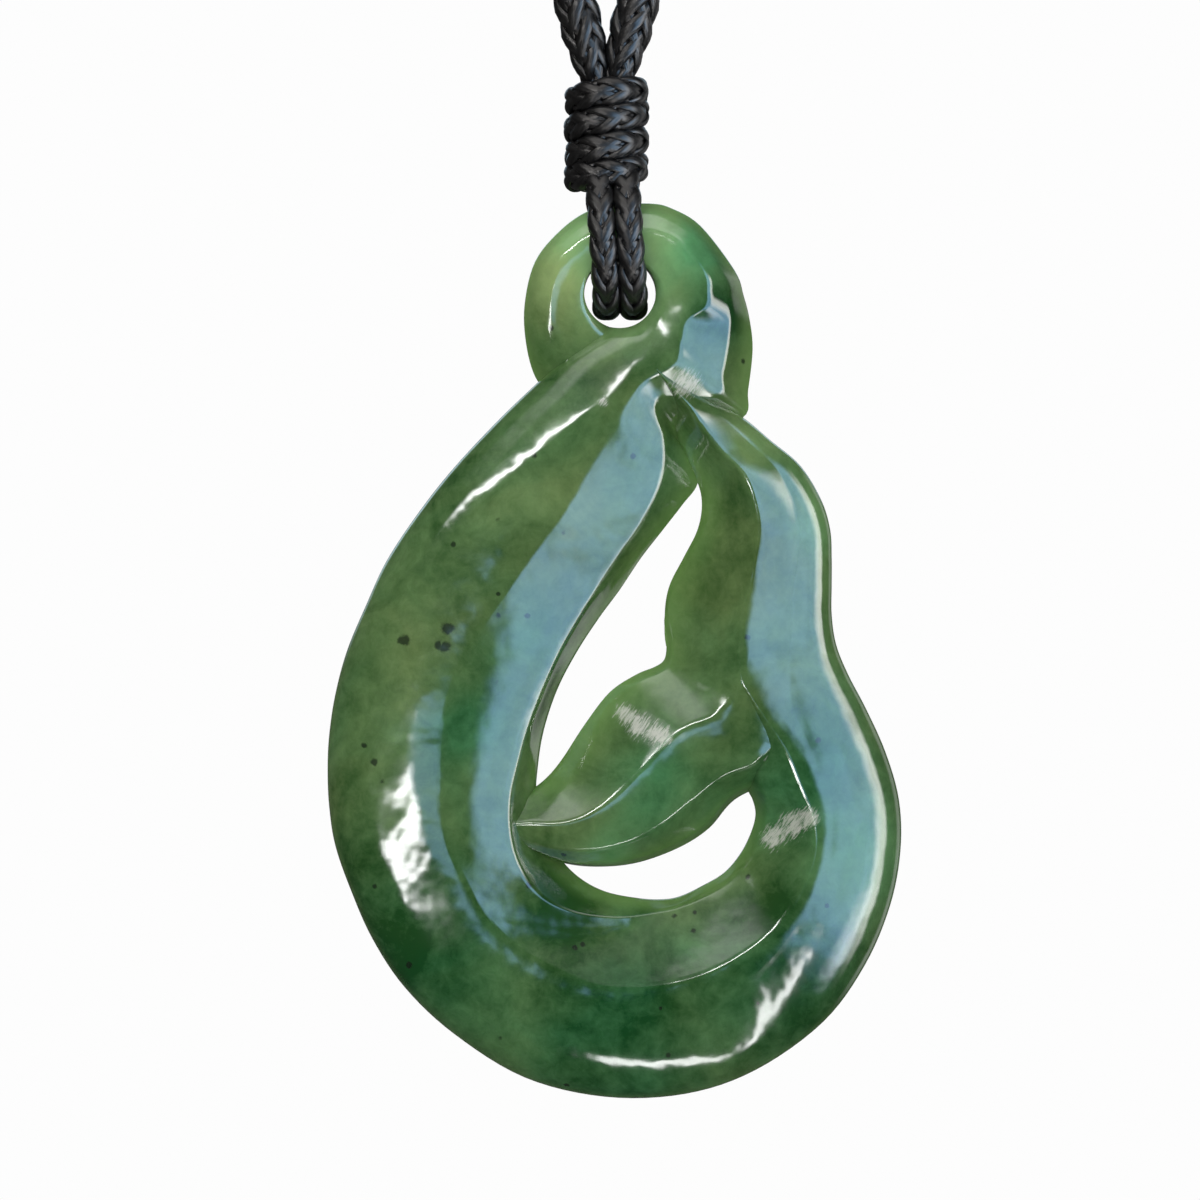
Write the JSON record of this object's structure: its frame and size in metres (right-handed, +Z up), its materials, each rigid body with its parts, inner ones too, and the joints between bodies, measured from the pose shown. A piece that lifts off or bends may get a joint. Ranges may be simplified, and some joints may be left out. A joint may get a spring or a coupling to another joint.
{
  "type": "fish hook pendant necklace",
  "caption": "Carved green stone hook pendant ending in a two-lobed whale tail, hung by thin braided loops and a wrapped knot from a thick black braided neck cord.",
  "frame": {"origin": "at the nape, on the inner side of the neck cord, where the necklace hangs round a neck", "axes": "+Z up, -Y is the front that the picture shows, +X to the right seen from the front"},
  "size_m": [0.1208, 0.1212, 0.3101],
  "materials": {
    "green_stone": "polished nephrite, glossy, mottled green with small black specks, slightly translucent",
    "thin_braid": "black waxed cord, round four-strand braid",
    "thick_braid": "black cord, round eight-strand braid, slight sheen"
  },
  "bodies": {
    "root": {"neck_cord": "thick_braid", "wrapped_knot": "thin_braid", "loop_strand_left": "thin_braid", "loop_strand_right": "thin_braid"},
    "stone": {"stone_hook": "green_stone"}
  },
  "joints": [
    {"name": "pendant_swing", "type": "hinge", "parent": "root", "child": "stone", "pos_m": [0.0009, -0.11345, -0.2546], "axis": [0, 1, 0], "range_deg": [-20, 20]}
  ]
}
